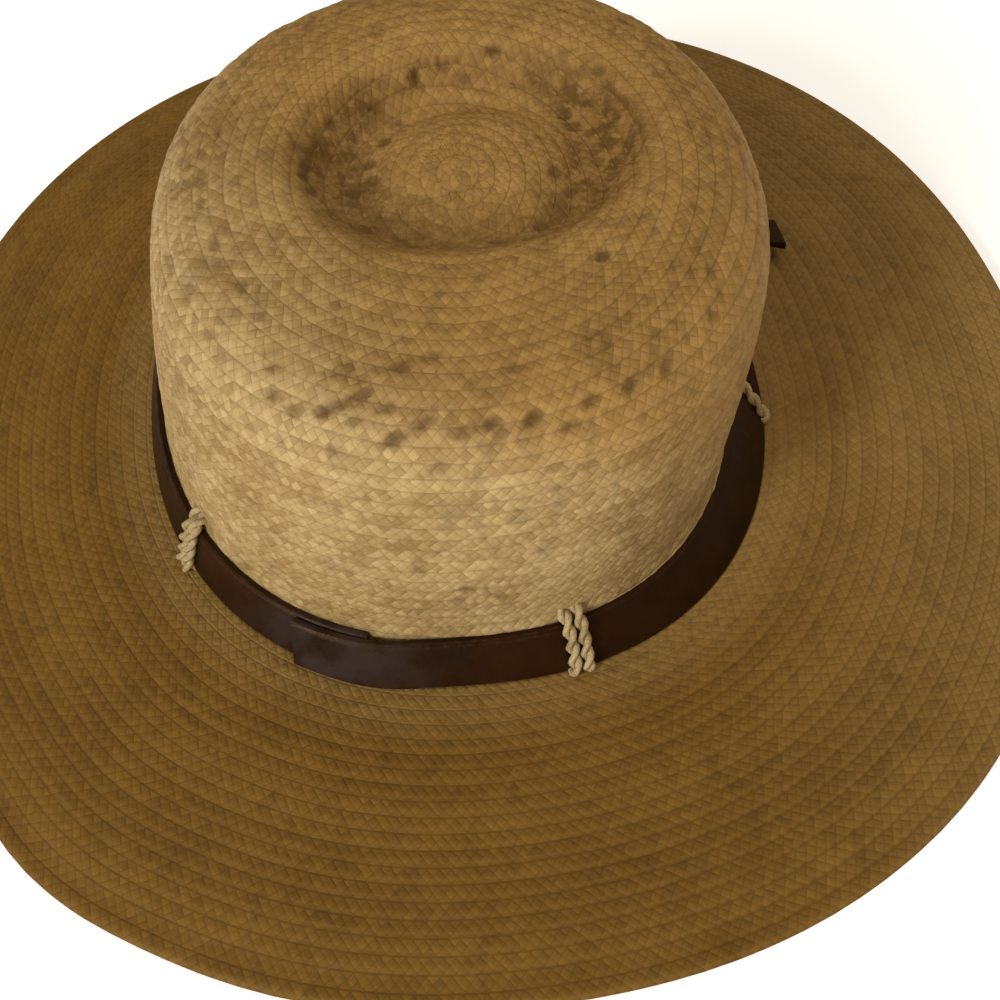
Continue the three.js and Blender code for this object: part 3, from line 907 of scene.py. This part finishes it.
bpy.ops.mesh.primitive_uv_sphere_add(segments=32, ring_count=20, radius=MM / 2)
tie = bpy.context.object
tie.scale = (TIE["depth"] * TIE_CORE, TIE["width"], TIE["height"])
tie.location.x = TIE["depth"] / 2 * MM
settle(tie)
join([tie] + [tie_end(**end) for end in TIE_ENDS] + [tie_turn(**turn) for turn in TIE_TURNS], "leather_tie")
tie_foot, tie_waist = (oval_place(section, TIE["angle"], TIE["out"], 0) for section in (FOOT, WAIST))
tie_along = oval_place(FOOT, TIE["angle"] + NUDGE, 0, 0) - oval_place(FOOT, TIE["angle"] - NUDGE, 0, 0)
tie.location = tie_foot.lerp(tie_waist, TIE["share"]) * MM
tie.rotation_euler.z = math.atan2(-tie_along.x, tie_along.y)
with editing(settle(tie)):
    make_uneven(TIE_UNEVEN, seed=31)
    bpy.ops.mesh.vertices_smooth(factor=0.4, repeat=1)
shade(tie, LEATHER_SHADE)
mark_wear(tie, sharp_places(tie))
tell_size(tie, "with", len(tie.data.polygons), "faces")

# %% [markdown]
# ## Nodes for the finishes
# A finish is a small graph: places go in, patterns come out and feed the colour, the roughness and the bump
# of one shader. These helpers add a node, fill its inputs and give back its output, so a pattern reads like a
# sum.

# %% Node helpers
class Graph:
    """The nodes of one finish, added and wired one by one."""

    def __init__(self, name):
        self.material = bpy.data.materials.new(name)
        self.material.use_nodes = True
        self.tree = self.material.node_tree
        self.shader = self.tree.nodes["Principled BSDF"]

    def feed(self, socket, value):
        """Puts a number, a colour or another node's output into a socket."""
        if isinstance(value, bpy.types.NodeSocket):
            self.tree.links.new(value, socket)
        else:
            socket.default_value = value

    def add(self, kind, inputs, output=0, **settings):
        """Adds a node with its settings and inputs, and gives back one of its outputs."""
        node = self.tree.nodes.new(kind)
        for name, value in settings.items():
            setattr(node, name, value)
        for key, value in inputs.items():
            self.feed(node.inputs[key], value)
        return node.outputs[output]

    def math(self, operation, *values):
        return self.add("ShaderNodeMath", dict(enumerate(values)), operation=operation)

    def total(self, *values):
        """The sum of any number of values."""
        result = values[0]
        for value in values[1:]:
            result = self.math("ADD", result, value)
        return result

    def times(self, *values):
        """The product of any number of values."""
        result = values[0]
        for value in values[1:]:
            result = self.math("MULTIPLY", result, value)
        return result

    def sway(self, value, amount):
        """How far a value is from a half, times an amount."""
        return self.times(self.math("SUBTRACT", value, 0.5), amount)

    def vector(self, x, y, z=0.0):
        return self.add("ShaderNodeCombineXYZ", {"X": x, "Y": y, "Z": z})

    def parts(self, vector):
        outputs = self.add("ShaderNodeSeparateXYZ", {"Vector": vector}).node.outputs
        return outputs["X"], outputs["Y"], outputs["Z"]

    def place(self):
        """The place in the piece's own frame."""
        return self.add("ShaderNodeTexCoord", {}, output="Object")

    def marked(self, name):
        """The value that an attribute of the piece has."""
        return self.add("ShaderNodeAttribute", {}, output="Fac", attribute_name=name)

    def noise(self, place, scale, detail=2.0, roughness=0.5):
        """Smooth noise between 0 and 1, in lumps of about 1 / scale."""
        inputs = {"Vector": place, "Scale": scale, "Detail": detail, "Roughness": roughness}
        return self.add("ShaderNodeTexNoise", inputs, output="Fac")

    def dice(self, x, y, z=0.0):
        """A random number between 0 and 1 that stays the same for the same three numbers."""
        return self.add("ShaderNodeTexWhiteNoise", {"Vector": self.vector(x, y, z)}, output="Value")

    def spread(self, value, low, high, to_low=0.0, to_high=1.0):
        """Stretches the values between low and high to a new range, with soft ends."""
        inputs = {"Value": value, "From Min": low, "From Max": high, "To Min": to_low, "To Max": to_high}
        return self.add("ShaderNodeMapRange", inputs, output="Result", interpolation_type="SMOOTHSTEP")

    def blend(self, share, first, second, kind="MIX"):
        """A colour between two others."""
        inputs = {"Factor": share, 6: first, 7: second}
        return self.add("ShaderNodeMix", inputs, output=2, data_type="RGBA", blend_type=kind)

    def choose(self, share, first, second):
        """The first value where share is 0, and the second one where it is 1."""
        return self.total(first, self.times(share, self.math("SUBTRACT", second, first)))

    def finish(self, colour, roughness, height, depth, **constants):
        """Feeds the shader, with the height pattern as a bump of a depth in metres."""
        bump = {"Strength": 1.0, "Distance": depth, "Height": height}
        self.feed(self.shader.inputs["Base Color"], colour)
        self.feed(self.shader.inputs["Roughness"], roughness)
        self.feed(self.shader.inputs["Normal"], self.add("ShaderNodeBump", bump))
        for name, value in constants.items():
            self.shader.inputs[name.replace("_", " ").title().replace("Ior", "IOR")].default_value = value
        return self.material


# %% [markdown]
# ## The straw
# Each row is a flat plait: two families of straws cross on the slant, and each goes over and under the other
# in turn. The two families are U plus and minus the way across the row, and the sum of their whole numbers,
# odd or even, says which is on top. Every straw gets its own tone, fine fibres run along it, and stitches
# show where rows are sewn together. The gaps between straws and the grooves between rows are darkened as
# painted shade. The crown's wall is painted paler low down and towards the front left, where the light falls,
# and the brim paler towards the right, beyond the crown's shadow; the brim also has painted highlights near
# the band and along each row's lapped edge. Blotches of a few millimetres are tied to the hat's own places,
# as the dish's dirt and painted shade are.

# %% Straw
LEAN = 1.3
STRAW_DEPTH = 0.32 * MM
STRAW_GLOSS = 0.24
# Lumps to a metre of the noises that bend the straws and stain them
LUMPS = {"waver": 160.0, "blotch": 260.0, "cloud": 32.0, "speck": 150.0, "mottle": 190.0}
FIBRES = 15.0
# How far each pattern sways the tone
SWAY = {"straw": 0.24, "fibre": 0.35, "cloud": 0.5}
# Where the stitches lie: the way across a row, half their width, half their length, and how many to a plait
STITCH = {"across": 0.86, "half_width": 0.035, "half_length": 0.13, "to_a_plait": 0.5}
# How much each pattern raises the surface
RAISED = {"height": 0.75, "fibres": 0.22, "edge": 0.35, "stitch": 0.25}
# Painted light: the crown's wall is painted paler low down and towards the front left, where the light falls
# on it, and the brim paler towards the right, beyond the crown's shadow. Weights of the three ways, where the
# painted light begins and where it is full, and how much of it the darkest straw takes
PAINTED_LIGHT_ON_WALL = {"side": 0.5, "depth": 0.22, "level": 1.0, "none": 93 * MM, "full": 57 * MM, "dark": 0.0}
PAINTED_LIGHT_ON_BRIM = {"side": 1.0, "depth": 0.12, "level": 0.0, "none": 25 * MM, "full": 185 * MM, "dark": 0.4}


def straw(name, pale, deep, soil_and_shade_colour, hollow_shade_and_stain, lit_colour, painted_light, row_tone, blotch, edge_highlight, highlight_near_band):
    """The finish of plaited straw, from its palest colour to the colour of its gaps, with painted shade in
    the gaps and grooves and painted light where the light falls.
    """
    g = Graph(name)
    place = g.place()
    # Painted light: how far each place lies towards where the light falls, by its place in the hat's frame
    ways = zip(g.parts(place), ("side", "depth", "level"))
    slope = g.total(*(g.times(way, painted_light[key]) for way, key in ways))
    lit_share = g.spread(slope, painted_light["none"], painted_light["full"])
    along, rows, _ = g.parts(g.add("ShaderNodeUVMap", {}, uv_map="braid"))
    row, across = g.math("FLOOR", rows), g.math("FRACT", rows)
    slant = g.sway(across, LEAN)
    start = g.total(along, g.dice(row, 3.0), g.times(g.noise(place, LUMPS["waver"]), 0.35))
    first, second = g.math("ADD", start, slant), g.math("SUBTRACT", start, slant)
    first_cell, second_cell = g.math("FLOOR", first), g.math("FLOOR", second)
    first_on_top = g.math("MODULO", g.math("ABSOLUTE", g.total(first_cell, second_cell)), 2.0)

    def hump(straw_place):
        return g.math("SINE", g.times(g.math("FRACT", straw_place), math.pi))

    def straw_height(width_hump, length_hump):
        return g.times(g.math("SQRT", width_hump), g.math("MULTIPLY_ADD", length_hump, 0.5, 0.5))

    first_hump, second_hump = hump(first), hump(second)
    height = g.choose(
        first_on_top, straw_height(second_hump, first_hump), straw_height(first_hump, second_hump)
    )
    own_tone = g.choose(first_on_top, g.dice(second_cell, row, 1.0), g.dice(first_cell, row, 2.0))
    fibre_place = g.vector(
        g.choose(first_on_top, g.times(second, FIBRES), g.times(first, FIBRES)),
        g.choose(first_on_top, first, second),
        row,
    )
    fibres = g.noise(fibre_place, 1.0, detail=3.0)
    edge = g.math("MINIMUM", g.spread(across, 0.0, 0.16), g.spread(across, 1.0, 0.93))
    stitch = g.times(
        g.math("COMPARE", across, STITCH["across"], STITCH["half_width"]),
        g.math("COMPARE", g.math("FRACT", g.times(along, STITCH["to_a_plait"])), 0.5, STITCH["half_length"]),
    )
    lumps = g.noise(place, LUMPS["blotch"], detail=3.0, roughness=0.6)
    mottles = g.noise(place, LUMPS["mottle"], detail=3.0, roughness=0.6)
    dark, soil_and_shade = g.marked("dark"), g.marked("soil_and_shade")

    tone = g.total(
        0.5,
        g.sway(own_tone, SWAY["straw"]),
        g.sway(fibres, SWAY["fibre"]),
        g.sway(g.dice(row, 8.0), row_tone),
        g.sway(lumps, blotch),
        g.sway(g.noise(place, LUMPS["cloud"]), SWAY["cloud"]),
    )
    # Painted shade in the gaps between straws and in the grooves between rows; the specks are the straw's own
    # dark flecks
    gap_shade = g.math("MULTIPLY_ADD", g.spread(height, 0.0, 0.45), 0.28, 0.72)
    edge_shade = g.math("MULTIPLY_ADD", edge, 0.14, 0.86)
    specks = g.times(g.spread(g.noise(place, LUMPS["speck"]), 0.54, 0.68), blotch * 0.5)
    shade_and_specks = g.times(gap_shade, edge_shade, g.math("SUBTRACT", 1.0, specks))
    # Painted light: the straw turns towards the lit colour where the light falls
    light_straw = g.blend(lit_share, pale, lit_colour)
    dark_straw = g.blend(g.times(lit_share, painted_light["dark"]), deep, lit_colour)
    colour = g.blend(g.spread(tone, 0.05, 0.95), dark_straw, light_straw)
    grey = g.add("ShaderNodeCombineColor", {0: shade_and_specks, 1: shade_and_specks, 2: shade_and_specks})
    colour = g.blend(1.0, colour, grey, kind="MULTIPLY")
    # Dirt and painted shade in the dish
    soil_and_shade_share = g.times(soil_and_shade, g.spread(mottles, 0.40, 0.62, 0.42, 1.0))
    colour = g.blend(soil_and_shade_share, colour, soil_and_shade_colour)
    # Painted shade in the gaps and pits, and the stains' own colour
    ragged_shade_and_stain = g.times(dark, g.spread(g.total(dark, mottles), 0.55, 1.0, 0.2, 1.0))
    colour = g.blend(g.times(ragged_shade_and_stain, 0.8), colour, hollow_shade_and_stain)
    # Painted highlight on the brim near the band, where it curves up into the crown
    band_highlight = g.times(g.spread(rows, 6.2, 2.4, 0.0, highlight_near_band), g.spread(lumps, 0.3, 0.6, 0.4, 1.0))
    colour = g.blend(band_highlight, colour, lit_colour)
    # Painted highlight along each row's lapped edge on the brim
    lit_edge = g.times(g.math("COMPARE", across, 0.8, 0.1), edge_highlight)
    lit_stitch = g.times(stitch, g.math("MULTIPLY_ADD", dark, -0.4, 0.4))
    colour = g.blend(g.math("MAXIMUM", lit_stitch, lit_edge), colour, light_straw)
    patterns = {"height": height, "fibres": fibres, "edge": edge, "stitch": stitch}
    relief = g.total(*(g.times(pattern, RAISED[key]) for key, pattern in patterns.items()))
    roughness = g.spread(g.total(fibres, lumps), 0.7, 1.3, 0.62, 0.85)
    return g.finish(colour, roughness, relief, STRAW_DEPTH, specular_ior_level=STRAW_GLOSS)


# %% [markdown]
# ## Leather and raffia
# The leather is dark and waxed, with a fine grain, and it is paler and drier where its edges rub, and a
# greyish sheen is painted on it by the lap, as a painted reflection. How near a point is to an edge comes
# from an attribute. The raffia is pale and dull, with long fibres that run the way the strings do, which is
# mostly up and down.

# %% Leather and raffia
# Where a greyish sheen is painted on the leather by the lap, as a painted reflection, and how far it reaches
PAINTED_SHEEN_PLACE = {"centre": (-40 * MM, -86 * MM, 12 * MM), "reach": 42 * MM}
LEATHER_COLOURS = {
    "deep": (0.012, 0.0038, 0.0008, 1), "pale": (0.026, 0.0085, 0.0018, 1),
    "worn": (0.07, 0.034, 0.014, 1), "painted_sheen": (0.055, 0.046, 0.043, 1),
}
LEATHER_GLOSS = {"specular_ior_level": 0.2, "specular_tint": (1.0, 0.62, 0.36, 1)}
LEATHER_DEPTH = 0.12 * MM
RAFFIA_COLOURS = {"deep": (0.32, 0.225, 0.09, 1), "pale": (0.62, 0.485, 0.245, 1)}
RAFFIA_FIBRES = (2600, 2600, 260)
RAFFIA_DEPTH = 0.2 * MM


def leather(name):
    """Waxed dark leather with worn edges and a painted sheen in one place."""
    g = Graph(name)
    place = g.place()
    grain = g.add("ShaderNodeTexVoronoi", {"Vector": place, "Scale": 1500.0}, output="Distance")
    creases = g.noise(place, 420.0, detail=4.0, roughness=0.65)
    clouds = g.noise(place, 60.0, detail=3.0)
    wear = g.times(g.marked("edge"), creases)
    colour = g.blend(g.spread(clouds, 0.3, 0.7), LEATHER_COLOURS["deep"], LEATHER_COLOURS["pale"])
    colour = g.blend(g.spread(wear, 0.35, 0.75, 0.0, 0.75), colour, LEATHER_COLOURS["worn"])
    ends = {0: place, 1: PAINTED_SHEEN_PLACE["centre"]}
    away = g.add("ShaderNodeVectorMath", ends, output="Value", operation="DISTANCE")
    sheen_patches = g.spread(g.noise(place, 90.0), 0.35, 0.6, 0.2, 0.9)
    painted_sheen_share = g.times(g.spread(away, PAINTED_SHEEN_PLACE["reach"], 0.0), sheen_patches)
    # Painted reflection: a greyish sheen on the leather by the lap
    colour = g.blend(painted_sheen_share, colour, LEATHER_COLOURS["painted_sheen"])
    roughness = g.spread(g.total(clouds, creases), 0.7, 1.3, 0.36, 0.56)
    return g.finish(colour, roughness, g.total(g.times(grain, 0.5), creases), LEATHER_DEPTH, **LEATHER_GLOSS)


def raffia(name):
    """Pale twisted raffia with long fibres."""
    g = Graph(name)
    place = g.place()
    stretched = g.add("ShaderNodeMapping", {"Vector": place, "Scale": RAFFIA_FIBRES})
    fibres = g.noise(stretched, 1.0, detail=3.0, roughness=0.6)
    tone = g.total(g.times(fibres, 0.6), g.times(g.noise(place, 190.0), 0.4))
    colour = g.blend(g.spread(tone, 0.35, 0.65), RAFFIA_COLOURS["deep"], RAFFIA_COLOURS["pale"])
    return g.finish(
        colour, g.spread(fibres, 0.3, 0.7, 0.55, 0.8), fibres, RAFFIA_DEPTH, specular_ior_level=0.4
    )


FINISHES = {
    "crown_straw": straw(
        "crown_straw", pale=(0.50, 0.295, 0.085, 1), deep=(0.26, 0.142, 0.035, 1),
        soil_and_shade_colour=(0.14, 0.07, 0.013, 1), hollow_shade_and_stain=(0.11, 0.053, 0.011, 1), lit_colour=(0.65, 0.475, 0.215, 1),
        painted_light=PAINTED_LIGHT_ON_WALL, row_tone=0.10, blotch=0.38, edge_highlight=0.0, highlight_near_band=0.0,
    ),
    # The brim's straw is browner than the crown's, and its colours are also darker as painted shade, for the
    # less light that its flat top gets
    "brim_straw": straw(
        "brim_straw", pale=(0.25, 0.13, 0.018, 1), deep=(0.14, 0.068, 0.007, 1),
        soil_and_shade_colour=(0.07, 0.035, 0.008, 1), hollow_shade_and_stain=(0.05, 0.025, 0.006, 1), lit_colour=(0.35, 0.215, 0.065, 1),
        painted_light=PAINTED_LIGHT_ON_BRIM, row_tone=0.22, blotch=0.3, edge_highlight=0.3, highlight_near_band=0.6,
    ),
    "leather": leather("leather"),
    "raffia": raffia("raffia"),
}
print("finishes:", ", ".join(FINISHES))

# %% [markdown]
# ## Handing over
# Each finished piece rides with the hat, stands in for its solid and carries its finish in the slot for it.

# %% Hand over
PIECES = [
    (crown, "crown", "crown_straw"),
    (brim, "brim", "brim_straw"),
    (band, "hat_band", "leather"),
    (tie, "band_tie", "leather"),
    *((piece, keeper["node"], "raffia") for piece, keeper in zip(keeper_pieces, KEEPERS)),
]
for piece, node, slot in PIECES:
    piece.data.materials.clear()
    piece.data.materials.append(FINISHES[slot])
    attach(piece, "root")
    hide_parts(node)
